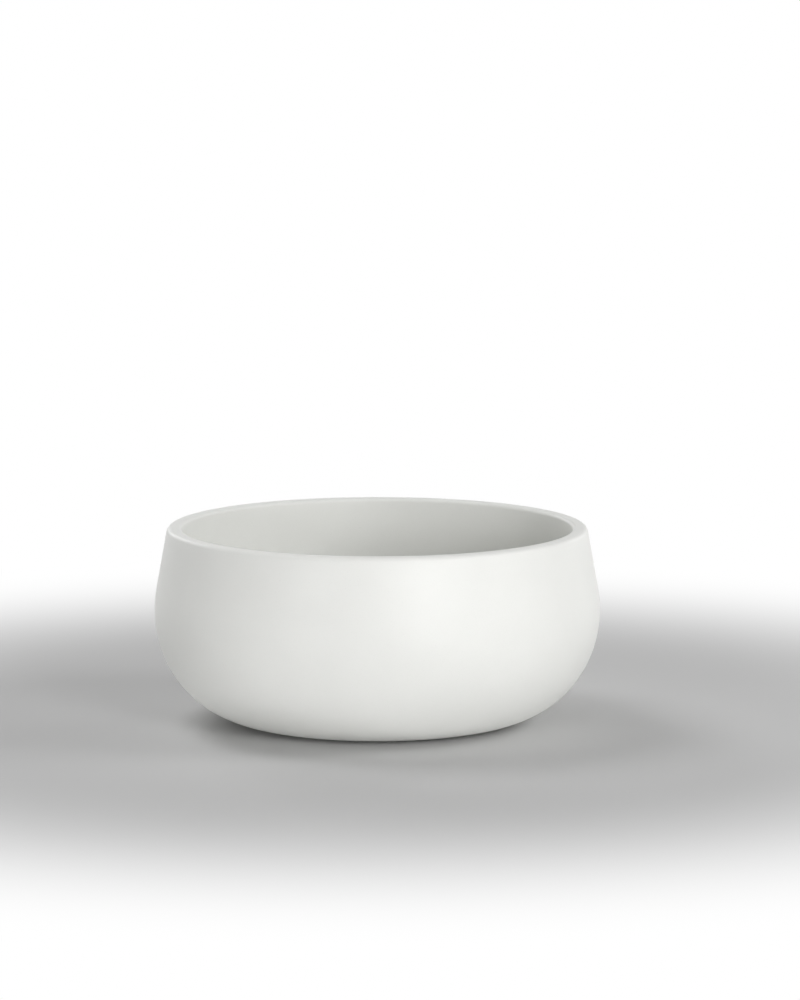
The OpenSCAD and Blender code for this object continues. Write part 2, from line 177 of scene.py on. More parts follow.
def cutBy(piece, cutter, operation):
    modifier = piece.modifiers.new("cut", "BOOLEAN")
    modifier.operation = operation
    modifier.solver = "EXACT"
    modifier.object = cutter
    applyModifiers(piece)
    bpy.data.objects.remove(cutter, do_unlink=True)


def joinInto(piece, *others):
    pickOnly(piece)
    for other in others:
        other.select_set(True)
    bpy.ops.object.join()


# finishes; colours are written as they look on a screen

def toLinear(colour):
    return tuple(c / 12.92 if c <= 0.04045 else ((c + 0.055) / 1.055) ** 2.4
                 for c in colour) + (1.0,)


class Finish:
    # one material with short names for the nodes that every finish here needs
    def __init__(self, name):
        self.material = bpy.data.materials.new(name)
        self.material.use_nodes = True
        self.nodes = self.material.node_tree.nodes
        self.links = self.material.node_tree.links
        self.shader = self.nodes["Principled BSDF"]
        self.place = self.nodes.new("ShaderNodeTexCoord").outputs["Object"]

    def put(self, label, value):
        self.shader.inputs[label].default_value = value

    def scaled(self, x, y, z):
        mapping = self.nodes.new("ShaderNodeMapping")
        mapping.inputs["Scale"].default_value = (x, y, z)
        self.links.new(self.place, mapping.inputs["Vector"])
        return mapping.outputs["Vector"]

    def noise(self, scale, detail=3, roughness=0.5, vector=None):
        node = self.nodes.new("ShaderNodeTexNoise")
        node.inputs["Scale"].default_value = scale
        node.inputs["Detail"].default_value = detail
        node.inputs["Roughness"].default_value = roughness
        self.links.new(vector or self.place, node.inputs["Vector"])
        return node.outputs["Fac"]

    def ramp(self, source, stops):
        node = self.nodes.new("ShaderNodeValToRGB")
        self.links.new(source, node.inputs["Fac"])
        ramp = node.color_ramp
        while len(ramp.elements) < len(stops):
            ramp.elements.new(0.5)
        for element, (position, colour) in zip(ramp.elements, stops):
            element.position = position
            element.color = colour
        return node.outputs["Color"]

    def remap(self, source, low, high, fromLow=0.3, fromHigh=0.7, curve="LINEAR"):
        node = self.nodes.new("ShaderNodeMapRange")
        node.interpolation_type = curve
        self.links.new(source, node.inputs["Value"])
        node.inputs["From Min"].default_value = fromLow
        node.inputs["From Max"].default_value = fromHigh
        node.inputs["To Min"].default_value = low
        node.inputs["To Max"].default_value = high
        return node.outputs["Result"]

    def blend(self, share, first, second, mode="MIX"):
        node = self.nodes.new("ShaderNodeMix")
        node.data_type = "RGBA"
        node.blend_type = mode
        for socket, value in ((0, share), (6, first), (7, second)):  # factor and both colours
            if hasattr(value, "is_output"):
                self.links.new(value, node.inputs[socket])
            else:
                node.inputs[socket].default_value = value
        return node.outputs[2]

    def bump(self, height, strength, distance, normal=None):
        node = self.nodes.new("ShaderNodeBump")
        node.inputs["Strength"].default_value = strength
        node.inputs["Distance"].default_value = distance
        self.links.new(height, node.inputs["Height"])
        if normal:
            self.links.new(normal, node.inputs["Normal"])
        return node.outputs["Normal"]

    def plug(self, source, label):
        self.links.new(source, self.shader.inputs[label])

    def shades(self, colour, spread):
        # darker and lighter neighbours of one colour
        return [toLinear(tuple(min(1, c * k) for c in colour)) for k in (1 - spread, 1 + spread)]

    def mottle(self, colour, spread, scale, detail):
        # the colour drifts between its two neighbours over the surface
        low, high = self.shades(colour, spread)
        return self.ramp(self.noise(scale, detail), [(0.3, low), (0.7, high)])


stoneLook = {
    "colour": (0.903, 0.905, 0.892),
    "clouding": 0.008,
    "speckle": 0.018,
    "roughness": (0.46, 0.54),
    "ior": 1.5,
}


def castStone():
    # faint clouds with fine dark grains, on a skin that is slightly wavy and slightly gritty
    f = Finish("castStone")
    low, high = f.shades(stoneLook["colour"], stoneLook["clouding"])
    clouds = f.ramp(f.noise(scale=9, detail=4), [(0.35, low), (0.65, high)])
    dark, light = f.shades((1, 1, 1), stoneLook["speckle"])
    grains = f.ramp(f.noise(scale=1400, detail=2), [(0.30, dark), (0.42, light)])
    f.plug(f.blend(1.0, clouds, grains, "MULTIPLY"), "Base Color")
    f.plug(f.remap(f.noise(scale=40), *stoneLook["roughness"]), "Roughness")
    wavy = f.bump(f.noise(scale=14, detail=2), strength=0.15, distance=0.0006)
    f.plug(f.bump(f.noise(scale=2200), strength=0.12, distance=0.00004, normal=wavy), "Normal")
    f.put("IOR", stoneLook["ior"])
    return f.material


chromeLook = {
    "colour": (0.86, 0.87, 0.88),
    "roughness": (0.05, 0.14),
}


def polishedChrome():
    # smudges that dull the shine in places
    f = Finish("polishedChrome")
    f.put("Base Color", toLinear(chromeLook["colour"]))
    f.put("Metallic", 1.0)
    smudges = f.noise(scale=55, detail=4, roughness=0.6)
    f.plug(f.remap(smudges, *chromeLook["roughness"], fromLow=0.4, fromHigh=0.75), "Roughness")
    f.plug(f.bump(f.noise(scale=300, detail=2), strength=0.05, distance=0.00002), "Normal")
    return f.material


brassLook = {
    "colour": (0.80, 0.66, 0.40),
    "spread": 0.06,
    "roughness": (0.22, 0.34),
    "toolMarks": (20, 20, 3500),
}


def turnedBrass():
    # rings left by the turning tool
    f = Finish("turnedBrass")
    f.plug(f.mottle(brassLook["colour"], brassLook["spread"], scale=35, detail=4), "Base Color")
    f.put("Metallic", 1.0)
    toolMarks = f.noise(scale=1.0, detail=2, vector=f.scaled(*brassLook["toolMarks"]))
    f.plug(f.remap(f.noise(scale=90), *brassLook["roughness"]), "Roughness")
    f.plug(f.bump(toolMarks, strength=0.25, distance=0.00004), "Normal")
    return f.material


rubberLook = {
    "colour": (0.155, 0.155, 0.16),
    "spread": 0.12,
    "roughness": (0.58, 0.74),
}


def mouldedRubber():
    f = Finish("mouldedRubber")
    f.plug(f.mottle(rubberLook["colour"], rubberLook["spread"], scale=60, detail=4), "Base Color")
    f.plug(f.remap(f.noise(scale=200), *rubberLook["roughness"]), "Roughness")
    f.plug(f.bump(f.noise(scale=1500), strength=0.35, distance=0.00006), "Normal")
    return f.material


nylonLook = {
    "colour": (0.905, 0.90, 0.865),
    "spread": 0.012,
    "roughness": (0.38, 0.5),
    "depth": (0.002, 0.002, 0.0015),
    "translucence": 0.08,
}


def naturalNylon():
    # light goes a little way in
    f = Finish("naturalNylon")
    f.plug(f.mottle(nylonLook["colour"], nylonLook["spread"], scale=50, detail=3), "Base Color")
    f.put("Subsurface Weight", nylonLook["translucence"])
    f.put("Subsurface Radius", nylonLook["depth"])
    f.plug(f.remap(f.noise(scale=120), *nylonLook["roughness"]), "Roughness")
    f.plug(f.bump(f.noise(scale=1800, detail=2), strength=0.15, distance=0.00004), "Normal")
    return f.material


acetalLook = {
    "colour": (0.20, 0.22, 0.25),
    "spread": 0.08,
    "roughness": (0.3, 0.42),
}


def darkAcetal():
    f = Finish("darkAcetal")
    f.plug(f.mottle(acetalLook["colour"], acetalLook["spread"], scale=80, detail=3), "Base Color")
    f.plug(f.remap(f.noise(scale=150), *acetalLook["roughness"]), "Roughness")
    f.plug(f.bump(f.noise(scale=1600, detail=2), strength=0.12, distance=0.00004), "Normal")
    return f.material


steelLook = {
    "colour": (0.70, 0.71, 0.72),
    "spread": 0.05,
    "roughness": (0.2, 0.32),
    "drawMarks": (900, 900, 60),
}


def drawnSteel():
    # long fine lines left by the drawing die
    f = Finish("drawnSteel")
    f.plug(f.mottle(steelLook["colour"], steelLook["spread"], scale=70, detail=3), "Base Color")
    f.put("Metallic", 1.0)
    drawMarks = f.noise(scale=1.0, vector=f.scaled(*steelLook["drawMarks"]))
    f.plug(f.remap(f.noise(scale=160), *steelLook["roughness"]), "Roughness")
    f.plug(f.bump(drawMarks, strength=0.2, distance=0.00003), "Normal")
    return f.material


finishes = {
    "stone": castStone(),
    "chrome": polishedChrome(),
    "brass": turnedBrass(),
    "rubber": mouldedRubber(),
    "nylon": naturalNylon(),
    "acetal": darkAcetal(),
    "steel": drawnSteel(),
}
print("finishes made:", len(finishes))


def dress(piece, body, slotName, *nodeNames):
    piece.data.materials.clear()
    piece.data.materials.append(finishes[slotName])
    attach(piece, body)
    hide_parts(*nodeNames)


# the bowl; sizes of all pieces are in mm, heights from the plane it stands on

bowlSize = {
    "bellyRadius": 200,
    "height": 176,
    "bellyHeight": 101,
    "footRadius": 107.5,
    "footGap": 1.5,
    "lean": 10.2,  # degrees from upright
    "shoulder": 20,
    "rimWidth": 13.6,
    "rimOuter": 4.7,
    "rimInner": 3,
    "floor": 36,
    "floorFall": 0.03,  # mm in 1 mm
    "floorRadius": 95,
    "floorRings": (70, 50),
    "seatRadius": 32.6,
    "seatDepth": 5,
    "seatRound": 0.6,
    "seatRoundMiddle": (0.2, 0.15),
    "holeRadius": 23,
    "ceilingRings": (40, 60),
    "recessRadius": 85.5,
    "recessDraft": 1.5,
    "recessHeight": 18,
    "recessFillet": 5,
    "grooveInner": 89.3,
    "grooveOuter": 104.7,
    "grooveDepth": 1.5,
    "sweepSteps": 72,
    "shoulderSteps": 8,
    "wallSteps": 6,
    "rimOuterSteps": 10,
    "rimInnerSteps": 9,
    "filletSteps": 8,
    "turnSteps": 256,
    "smoothAngle": 25,
}


def leanIn(rise):
    # how far the wall has leant in at this rise above the belly: a parabola, then straight
    b = bowlSize
    t = math.tan(math.radians(b["lean"]))
    if rise < b["shoulder"]:
        return t * rise * rise / (2 * b["shoulder"])
    return t * (rise - b["shoulder"] / 2)


def wallAt(z, depth):
    return bowlSize["bellyRadius"] - depth - leanIn(z - bowlSize["bellyHeight"])


def floorAt(radius):
    b = bowlSize
    return b["floor"] + (radius - b["seatRadius"]) * b["floorFall"]


def between(start, end, steps):
    # the heights between two ends, without them
    return [start + (end - start) * i / steps for i in range(1, steps)]


def bowlProfile():
    # up the outside from the foot, over the rim, down to the drain and back under the bowl
    b = bowlSize
    belly, lean, rimWidth = b["bellyHeight"], b["lean"], b["rimWidth"]
    steps, turns = b["sweepSteps"], b["shoulderSteps"]
    quarter = [math.pi / 2 * i / steps for i in range(steps + 1)]
    shoulder = [belly + b["shoulder"] * i / turns for i in range(1, turns + 1)]
    sine, cosine = math.sin(math.radians(lean)), math.cos(math.radians(lean))
    outerRound, innerRound = b["rimOuter"], b["rimInner"]
    outerTop = b["height"] - outerRound + outerRound * sine
    innerTop = b["height"] - innerRound - innerRound * sine
    upper = between(shoulder[-1], outerTop, b["wallSteps"])
    down = between(innerTop, shoulder[-1], b["wallSteps"])

    out = [(b["footRadius"] + (b["bellyRadius"] - b["footRadius"]) * math.sin(a),
            belly - (belly - b["footGap"]) * math.cos(a)) for a in quarter]
    out += [(wallAt(z, 0), z) for z in shoulder + upper]
    out += arcPoints(wallAt(outerTop, 0) - outerRound * cosine, b["height"] - outerRound,
                     outerRound, lean, 90, b["rimOuterSteps"])
    out += arcPoints(wallAt(innerTop, rimWidth) + innerRound * cosine, b["height"] - innerRound,
                     innerRound, 90, 180 + lean, b["rimInnerSteps"])
    out += [(wallAt(z, rimWidth), z) for z in down + shoulder[::-1]]

    inner = b["bellyRadius"] - rimWidth
    for a in quarter[::-1]:
        r = b["floorRadius"] + (inner - b["floorRadius"]) * math.sin(a)
        out.append((r, floorAt(r) + (belly - floorAt(inner)) * (1 - math.cos(a))))
    out += [(r, floorAt(r)) for r in b["floorRings"]]
    seat, edge, (middleOut, middleDown) = b["seatRadius"], b["seatRound"], b["seatRoundMiddle"]
    out += [(seat + edge, floorAt(seat + edge)), (seat + middleOut, b["floor"] - middleDown),
            (seat, b["floor"] - edge)]

    ledge, ceiling = b["floor"] - b["seatDepth"], b["recessHeight"]
    out += [(seat, ledge), (b["holeRadius"], ledge), (b["holeRadius"], ceiling)]
    out += [(r, ceiling) for r in b["ceilingRings"]]
    fillet, wall = b["recessFillet"], b["recessRadius"] - b["recessDraft"]
    out += arcPoints(wall - fillet, ceiling - fillet, fillet, 90, 0, b["filletSteps"])
    low, deep = b["footGap"], b["footGap"] + b["grooveDepth"]
    out += [(b["recessRadius"], low), (b["grooveInner"], low), (b["grooveInner"], deep),
            (b["grooveOuter"], deep), (b["grooveOuter"], low)]
    return out


bowl = lathe("bowlCast", bowlProfile(), bowlSize["turnSteps"], angle=bowlSize["smoothAngle"])
dress(bowl, "basin", "stone", "bowl")
print("bowl:", len(bowl.data.polygons), "faces")


# the plug's cap

plugSize = {
    "capRadius": 34,
    "capFoot": 47.3,
    "edgeHeight": 5,
    "dome": 4.5,
    "edgeRadius": 1.5,
    "footRound": ((0.6, 0), (0.2, 0.15), (0, 0.5)),  # in from the edge, up from the foot
    "pocketRadius": 16,
    "pocketDepth": 3,
    "edgeSteps": 8,
    "domeSteps": 24,
    "turnSteps": 160,
}


def capProfile():
    p = plugSize
    e, w = p["edgeRadius"], p["capRadius"] - p["edgeRadius"]
    domeRadius = (w * w + p["dome"] ** 2) / (2 * p["dome"])
    middle = p["capFoot"] + p["edgeHeight"] + p["dome"] - domeRadius
    tilt = math.asin(w / (domeRadius - e))
    domeStart = 90 - math.degrees(tilt)
    foot = p["capFoot"]
    out = [(0, foot + p["pocketDepth"]), (p["pocketRadius"], foot + p["pocketDepth"]),
           (p["pocketRadius"], foot)]
    out += [(p["capRadius"] - inward, foot + up) for inward, up in p["footRound"]]
    out += arcPoints(w, middle + (domeRadius - e) * math.cos(tilt), e, 0, domeStart, p["edgeSteps"])
    out += arcPoints(0, middle, domeRadius, domeStart, 90, p["domeSteps"])
    out[-1] = (0, out[-1][1])  # exactly on the axis
    return out


cap = lathe("plugCapDome", capProfile(), plugSize["turnSteps"], closed=False)
dress(cap, "plug", "stone", "plug_cap")
print("plug cap:", len(cap.data.polygons), "faces")


# screw threads, cut with a die

threadForm = {
    "crestOver": 0.04,  # shares of the thread's depth
    "footRound": 0.06,
    "crestRound": 0.08,
    "pitchShares": (0, 0.12, 0.4, 0.5, 0.6, 0.88, 1),
    "leadTurns": 2,
    "spareTurns": 4,
    "steps": 64,
    "ringWidth": 4,
}


def closeEnd(screw, middle, upper):
    # the open edge above or below the middle becomes a cone
    editAll(screw)
    bpy.ops.mesh.select_all(action="DESELECT")
    bpy.ops.mesh.select_non_manifold(extend=False, use_wire=False, use_boundary=True,
                                     use_multi_face=False, use_non_contiguous=False,
                                     use_verts=False)
    leaveEdit()
    mesh = screw.data
    for vertex in mesh.vertices:
        if (vertex.co.z > middle) != upper:
            vertex.select = False
    for edge in mesh.edges:
        edge.select = edge.select and all(mesh.vertices[v].select for v in edge.vertices)
    for face in mesh.polygons:
        face.select = False
    bpy.ops.object.mode_set(mode="EDIT")
    bpy.ops.mesh.extrude_region_move(TRANSFORM_OT_translate={"value": (0, 0, 0)})
    bpy.ops.mesh.merge(type="CENTER")
    leaveEdit()


def threadDie(name, radius, pitch, depth, low, high):
    # a ring with a screw surface inside, to be cut away from a plain shank
    t = threadForm
    root, crest = radius - depth, radius + t["crestOver"] * depth
    foot, top = root + t["footRound"] * depth, crest - t["crestRound"] * depth
    flank = zip((root, foot, top, crest, top, foot, root), t["pitchShares"])
    start = low - t["leadTurns"] * pitch
    screw = drawLine(name + "Screw", [(x, start + share * pitch) for x, share in flank])
    leaveEdit()
    modifier = screw.modifiers.new("turns", "SCREW")
    modifier.angle = 2 * math.pi
    modifier.screw_offset = pitch * mm
    modifier.iterations = int((high - low) / pitch) + t["spareTurns"]
    modifier.steps = modifier.render_steps = t["steps"]
    modifier.use_merge_vertices = True
    modifier.merge_threshold = mergeGap
    applyModifiers(screw)
    tidyMesh(screw)
    middle = (low + high) / 2 * mm
    for upper in (False, True):
        closeEnd(screw, middle, upper)
    tidyMesh(screw)
    deselectAll()
    bpy.ops.mesh.primitive_cylinder_add(vertices=t["steps"], radius=(radius + t["ringWidth"]) * mm,
                                        depth=(high - low) * mm, location=(0, 0, middle))
    die = bpy.context.object
    cutBy(die, screw, "DIFFERENCE")
    return die


# waste body: flange, flare, threaded tail and the hub on its four arms

wasteSize = {
    "flangeRadius": 32,
    "flangeUnder": 32.5,
    "flangeEdge": 1,
    "flareRadius": 24.5,
    "flareEdge": 1.2,
    "flareFoot": 31.5,
    "flareFootRound": 2,
    "throatRadius": 18.3,
    "neckRadius": 22.6,
    "neckFoot": 28.5,
    "threadRadius": 20.955,
    "threadTop": 26.8,
    "threadPitch": 2.309,
    "threadDepth": 1.3,
    "grooveRadius": 19.5,
    "grooveTop": 3,
    "grooveFoot": 1,
    "grooveSlope": 0.6,
    "tailEnd": -46,
    "tailChamfer": 1,
    "dieBelowTail": 2,
    "hubRadius": 9.5,
    "hubBore": 6.1,
    "hubFoot": -28,
    "hubTop": -20,
    "arms": 4,
    "armTurn": 45,  # degrees
    "armThickness": 3.5,
    "armInHub": 1.5,
    "armInThroat": 0.5,
    "armLower": 0.2,  # than the hub
    "armRound": 0.6,
    "turnSteps": 160,
    "hubSteps": 96,
    "smoothAngle": 35,
}


def wasteShell():
    w = wasteSize
    top, tail, chamfer = bowlSize["floor"], w["tailEnd"], w["tailChamfer"]
    cone = w["neckRadius"] - w["threadRadius"]
    return lathe("wasteBodyChrome", roundedLine([
        (w["flareRadius"], top, w["flareEdge"]), (w["flangeRadius"], top, w["flangeEdge"]),
        (w["flangeRadius"], w["flangeUnder"], smallEdge),
        (w["neckRadius"], w["flangeUnder"], fineEdge), (w["neckRadius"], w["neckFoot"], softEdge),
        (w["threadRadius"], w["neckFoot"] - cone), (w["threadRadius"], w["grooveTop"]),
        (w["grooveRadius"], w["grooveTop"] - w["grooveSlope"], fineEdge),
        (w["grooveRadius"], w["grooveFoot"] + w["grooveSlope"], fineEdge),
        (w["threadRadius"], w["grooveFoot"]), (w["threadRadius"], tail + chamfer),
        (w["threadRadius"] - chamfer, tail, fineEdge), (w["throatRadius"], tail, smallEdge),
        (w["throatRadius"], w["flareFoot"], w["flareFootRound"])]), w["turnSteps"])


def hubArms():
    # rounded bars from inside the hub's wall to inside the throat's, joined as one piece
    w = wasteSize
    inner, outer = w["hubRadius"] - w["armInHub"], w["throatRadius"] + w["armInThroat"]
    middle, height = (w["hubFoot"] + w["hubTop"]) / 2, w["hubTop"] - w["hubFoot"] - w["armLower"]
    arms = []
    for i in range(w["arms"]):
        deselectAll()
        bpy.ops.mesh.primitive_cube_add(
            size=1, location=((inner + outer) / 2 * mm, 0, middle * mm),
            scale=((outer - inner) * mm, w["armThickness"] * mm, height * mm))
        arm = bpy.context.object
        editAll(arm)
        bpy.ops.mesh.bevel(offset=w["armRound"] * mm, segments=3, affect="EDGES")
        leaveEdit()
        settle(arm, "arm")
        editAll(arm)
        bpy.ops.transform.rotate(value=math.radians(w["armTurn"] + 360 / w["arms"] * i),
                                 orient_axis="Z", center_override=(0, 0, 0))
        leaveEdit()
        arms.append(arm)
    joinInto(arms[0], *arms[1:])
    return arms[0]


def wasteBody():
    w = wasteSize
    body = wasteShell()
    hub = lathe("hub", roundedLine([
        (w["hubBore"], w["hubFoot"], smallEdge), (w["hubRadius"], w["hubFoot"], fullEdge),
        (w["hubRadius"], w["hubTop"], fullEdge), (w["hubBore"], w["hubTop"], smallEdge)]),
        w["hubSteps"])
    cutBy(body, hubArms(), "UNION")
    cutBy(body, hub, "UNION")
    cutBy(body, threadDie("tailDie", w["threadRadius"], w["threadPitch"], w["threadDepth"],
                          w["tailEnd"] - w["dieBelowTail"], w["threadTop"]), "DIFFERENCE")
    tidyMesh(body)
    smooth(body, w["smoothAngle"])
    return body


waste = wasteBody()
dress(waste, "basin", "chrome", "waste_body")
print("waste body:", len(waste.data.polygons), "faces")


# rings and gaskets, each turned from its own section

ringSize = {
    # name: (CAD node, finish, inner radius, outer radius, foot, top, rounding, steps)
    "footSealRing": ("foot_seal_ring", "rubber", 89.5, 104.5, 0, 3, 0.6, 200),
    "flangeGasket": ("flange_gasket", "rubber", 22.8, 31.5, 31, 32.5, 0.35, 128),
    "bowlGasket": ("bowl_gasket", "rubber", 21.205, 31, 15, 18, 0.6, 128),
    "slipWasher": ("slip_washer", "nylon", 21.205, 30, 13.5, 15, 0.3, 128),
}


def ringSection(inner, outer, low, high, rounding):
    return roundedLine([(inner, low, rounding), (outer, low, rounding),
                        (outer, high, rounding), (inner, high, rounding)], steps=4)


for name, (node, slotName, inner, outer, low, high, rounding, steps) in ringSize.items():
    piece = lathe(name, ringSection(inner, outer, low, high, rounding), steps)
    dress(piece, "basin", slotName, node)
print("rings:", len(ringSize))


# nuts

nutSize = {
    # name: (CAD node, body, finish, width across flats, foot, top, bore radius, rounding)
    "backNut": ("back_nut", "basin", "brass", 52, 4.5, 13.5, 21.055, 0.5),
    "cartridgeNut": ("cartridge_nut", "basin", "brass", 17, -32, -28, 6.1, 0.25),
    "jamNut": ("jam_nut", "plug", "steel", 13, 32.1, 36.1, 4.1, 0.25),
}

nutForm = {
    "faceShare": 0.98,  # of the flats, where the corners' lead starts
    "footLead": 0.5,
    "topLead": 0.3,
    "spare": 1,
    "turnSteps": 128,
    "smoothAngle": 25,
}


def hexNut(name, across, low, high, bore, rounding):
    # a hexagon with rounded corners, met by a turned shape that leads all its edges
    n = nutForm
    sixth = math.pi / 6
    corner, flat = across / 2 / math.cos(sixth), across / 2
    deselectAll()
    bpy.ops.mesh.primitive_cylinder_add(vertices=6, radius=corner * mm, depth=(high - low) * mm,
                                        location=(0, 0, (low + high) / 2 * mm),
                                        rotation=(0, 0, sixth))
    nut = settle(bpy.context.object, name)
    editAll(nut)
    bpy.ops.mesh.select_all(action="DESELECT")
    leaveEdit()
    for edge in nut.data.edges:  # the six upright corners
        a, b = (nut.data.vertices[v].co for v in edge.vertices)
        edge.select = abs(a.z - b.z) > 0.1 * mm
    bpy.ops.object.mode_set(mode="EDIT")
    bpy.ops.mesh.select_mode(type="EDGE")
    bpy.ops.mesh.bevel(offset=rounding * mm, segments=2, affect="EDGES")
    leaveEdit()
    face = flat * n["faceShare"]
    lead = (corner - face) * math.tan(sixth)
    clear, under, over = corner + n["spare"], n["footLead"], n["topLead"]
    turned = lathe("turned", roundedLine([
        (bore, low + under), (bore + under, low), (face, low, rounding), (corner, low + lead),
        (clear, low + lead), (clear, high - lead), (corner, high - lead),
        (face, high, rounding), (bore + over, high), (bore, high - over)]), n["turnSteps"])
    cutBy(nut, turned, "INTERSECT")
    tidyMesh(nut)
    smooth(nut, n["smoothAngle"])
    return nut


for name, (node, body, slotName, across, low, high, bore, rounding) in nutSize.items():
    dress(hexNut(name, across, low, high, bore, rounding), body, slotName, node)
print("nuts:", len(nutSize))


# plug insert and its seal

insertSize = {
    "studRadius": 4.1,
    "studTop": 45.8,
    "foot": 36.1,
    "lip": 15.5,
    "lipHeight": 1.2,
    "neck": 12,
    "neckFillet": 0.8,
    "disc": 15.8,
    "discHeight": 3,
    "sealHeight": 3,
    "sealRadius": 18,
    "sealGap": 0.05,
    "sealFootOut": 0.6,
    "sealTopOut": 0.8,
    "sealBand": (0.9, 1.65),  # where the seal is widest, up from its foot
}


def plugInsert():
    n = insertSize
    seal = n["foot"] + n["lipHeight"]
    upper = seal + n["sealHeight"]
    cap, fillet = plugSize["capFoot"], n["neckFillet"]
    return lathe("plugInsert", roundedLine([
        (0, n["studTop"]), (n["studRadius"], n["studTop"]),
        (n["studRadius"], n["foot"], smallEdge), (n["lip"], n["foot"], softEdge),
        (n["lip"], seal, fineEdge), (n["neck"], seal), (n["neck"], upper),
        (n["lip"], upper, fineEdge), (n["lip"], upper + n["lipHeight"], softEdge),
        (n["neck"], upper + n["lipHeight"] + fillet, fillet), (n["neck"], cap),
        (n["disc"], cap, smallEdge), (n["disc"], cap + n["discHeight"], smallEdge),
        (0, cap + n["discHeight"])]), closed=False)


def plugSealRing():
    n = insertSize
    low = n["foot"] + n["lipHeight"]
    high, r, inner = low + n["sealHeight"], n["sealRadius"], n["neck"] + n["sealGap"]
    bandFoot, bandTop = n["sealBand"]
    return lathe("plugSealRing", roundedLine([
        (inner, low), (n["lip"] + n["sealFootOut"], low, softEdge), (r, low + bandFoot, smallEdge),
        (r, low + bandTop, smallEdge), (n["lip"] + n["sealTopOut"], high, softEdge),
        (inner, high)]))


dress(plugInsert(), "plug", "brass", "cap_insert")
dress(plugSealRing(), "plug", "rubber", "plug_seal")
print("plug insert and seal made")


# cartridge

cartridgeSize = {
    "radius": 10.5,
    "inside": 8,
    "top": 20.5,
    "topChamfer": 1,
    "bottom": -18,
    "ceiling": 18,
    "rodHole": 3.7,
    "wiperGroove": 5,
    "wiperFoot": 18.55,
    "wiperTop": 19.95,
    "baseFoot": -20,
    "basePlug": 7.9,
    "baseTop": -13,
    "boss": 3.9,
    "bossTop": -10,
    "drain": 1.5,
    "stub": 6,
    "stubFoot": -33,
    "stubLead": 0.8,
    "stubPitch": 1.25,
    "stubDepth": 0.7,
    "dieBelowStub": 2.2,
    "dieBelowBase": 0.4,
    "smoothAngle": 35,
}


def cartridgeBarrel():
    c = cartridgeSize
    radius, top, chamfer = c["radius"], c["top"], c["topChamfer"]
    return lathe("cartridgeBarrel", roundedLine([
        (c["inside"], c["bottom"], fineEdge), (radius, c["bottom"], softEdge),
        (radius, top - chamfer, softEdge), (radius - chamfer, top, softEdge),
        (c["rodHole"], top, smallEdge), (c["rodHole"], c["wiperTop"]),
        (c["wiperGroove"], c["wiperTop"]), (c["wiperGroove"], c["wiperFoot"]),
        (c["rodHole"], c["wiperFoot"]), (c["rodHole"], c["ceiling"]),
        (c["inside"], c["ceiling"])]))


def cartridgeBase():
    c = cartridgeSize
    radius, stub, foot, lead = c["radius"], c["stub"], c["stubFoot"], c["stubLead"]
    base = lathe("cartridgeBase", roundedLine([
        (c["drain"], foot, fineEdge), (stub - lead, foot), (stub, foot + lead),
        (stub, c["baseFoot"]), (radius, c["baseFoot"], softEdge), (radius, c["bottom"], softEdge),
        (c["basePlug"], c["bottom"]), (c["basePlug"], c["baseTop"], softEdge),
        (c["boss"], c["baseTop"]), (c["boss"], c["bossTop"], fullEdge),
        (c["drain"], c["bossTop"], fineEdge)]))
    cutBy(base, threadDie("stubDie", stub, c["stubPitch"], c["stubDepth"],
                          foot - c["dieBelowStub"], c["baseFoot"] - c["dieBelowBase"]),
          "DIFFERENCE")
    tidyMesh(base)
    smooth(base, c["smoothAngle"])
    return base


dress(cartridgeBarrel(), "basin", "brass", "cartridge_barrel")
dress(cartridgeBase(), "basin", "brass", "cartridge_base")
print("cartridge barrel and base made")


# return spring: a round wire with its end coils wound close

springSize = {
    "coilRadius": 4.6,
    "wire": 1,
    "wireSteps": 6,
    "low": -12.5,
    "high": 7,
    "coils": 6.5,
    "endCoils": 0.75,
    "endPitch": 1.04,
    "turnSteps": 32,
    "smoothAngle": 40,
    "anchor": -13,
    "freeHeight": 20.5,
    "travel": 11,
}


def coilHeight(turn):
    s = springSize
    close = s["endCoils"] * s["endPitch"]
    if turn < s["endCoils"]:
        return s["low"] + s["endPitch"] * turn
    if turn > s["coils"] - s["endCoils"]:
        return s["high"] - s["endPitch"] * (s["coils"] - turn)
    share = (turn - s["endCoils"]) / (s["coils"] - 2 * s["endCoils"])
    return s["low"] + close + (s["high"] - s["low"] - 2 * close) * share


def returnSpring():
    s = springSize
    turns = [i / s["turnSteps"] for i in range(int(s["coils"] * s["turnSteps"]) + 1)]
    spring = drawLine("springWire", [
        (s["coilRadius"] * math.cos(2 * math.pi * t), s["coilRadius"] * math.sin(2 * math.pi * t),
         coilHeight(t)) for t in turns])
    leaveEdit()
    pickOnly(spring)
    bpy.ops.object.convert(target="CURVE")
    wire = bpy.context.object
    wire.data.bevel_depth = s["wire"] / 2 * mm
    wire.data.bevel_resolution = s["wireSteps"]
    wire.data.use_fill_caps = True
    bpy.ops.object.convert(target="MESH")
    spring = settle(bpy.context.object, "springWire")
    tidyMesh(spring)
    smooth(spring, s["smoothAngle"])
    return spring


spring = returnSpring()
dress(spring, "basin", "steel", "return_spring")
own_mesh(spring)
print("spring:", len(spring.data.polygons), "faces")


# the toothed and ribbed pieces and the wiper ring keep their shapes and take their finishes

keptNodes = {
    "push_rod": "steel",
    "index_rotor": "acetal",
    "guide_sleeve": "nylon",
    "rod_wiper": "rubber",
}

for nodeName, slotName in keptNodes.items():
    for place in frame["nodes"][nodeName].material_slots:
        place.material = finishes[slotName]
print("kept nodes:", len(keptNodes))


# floor

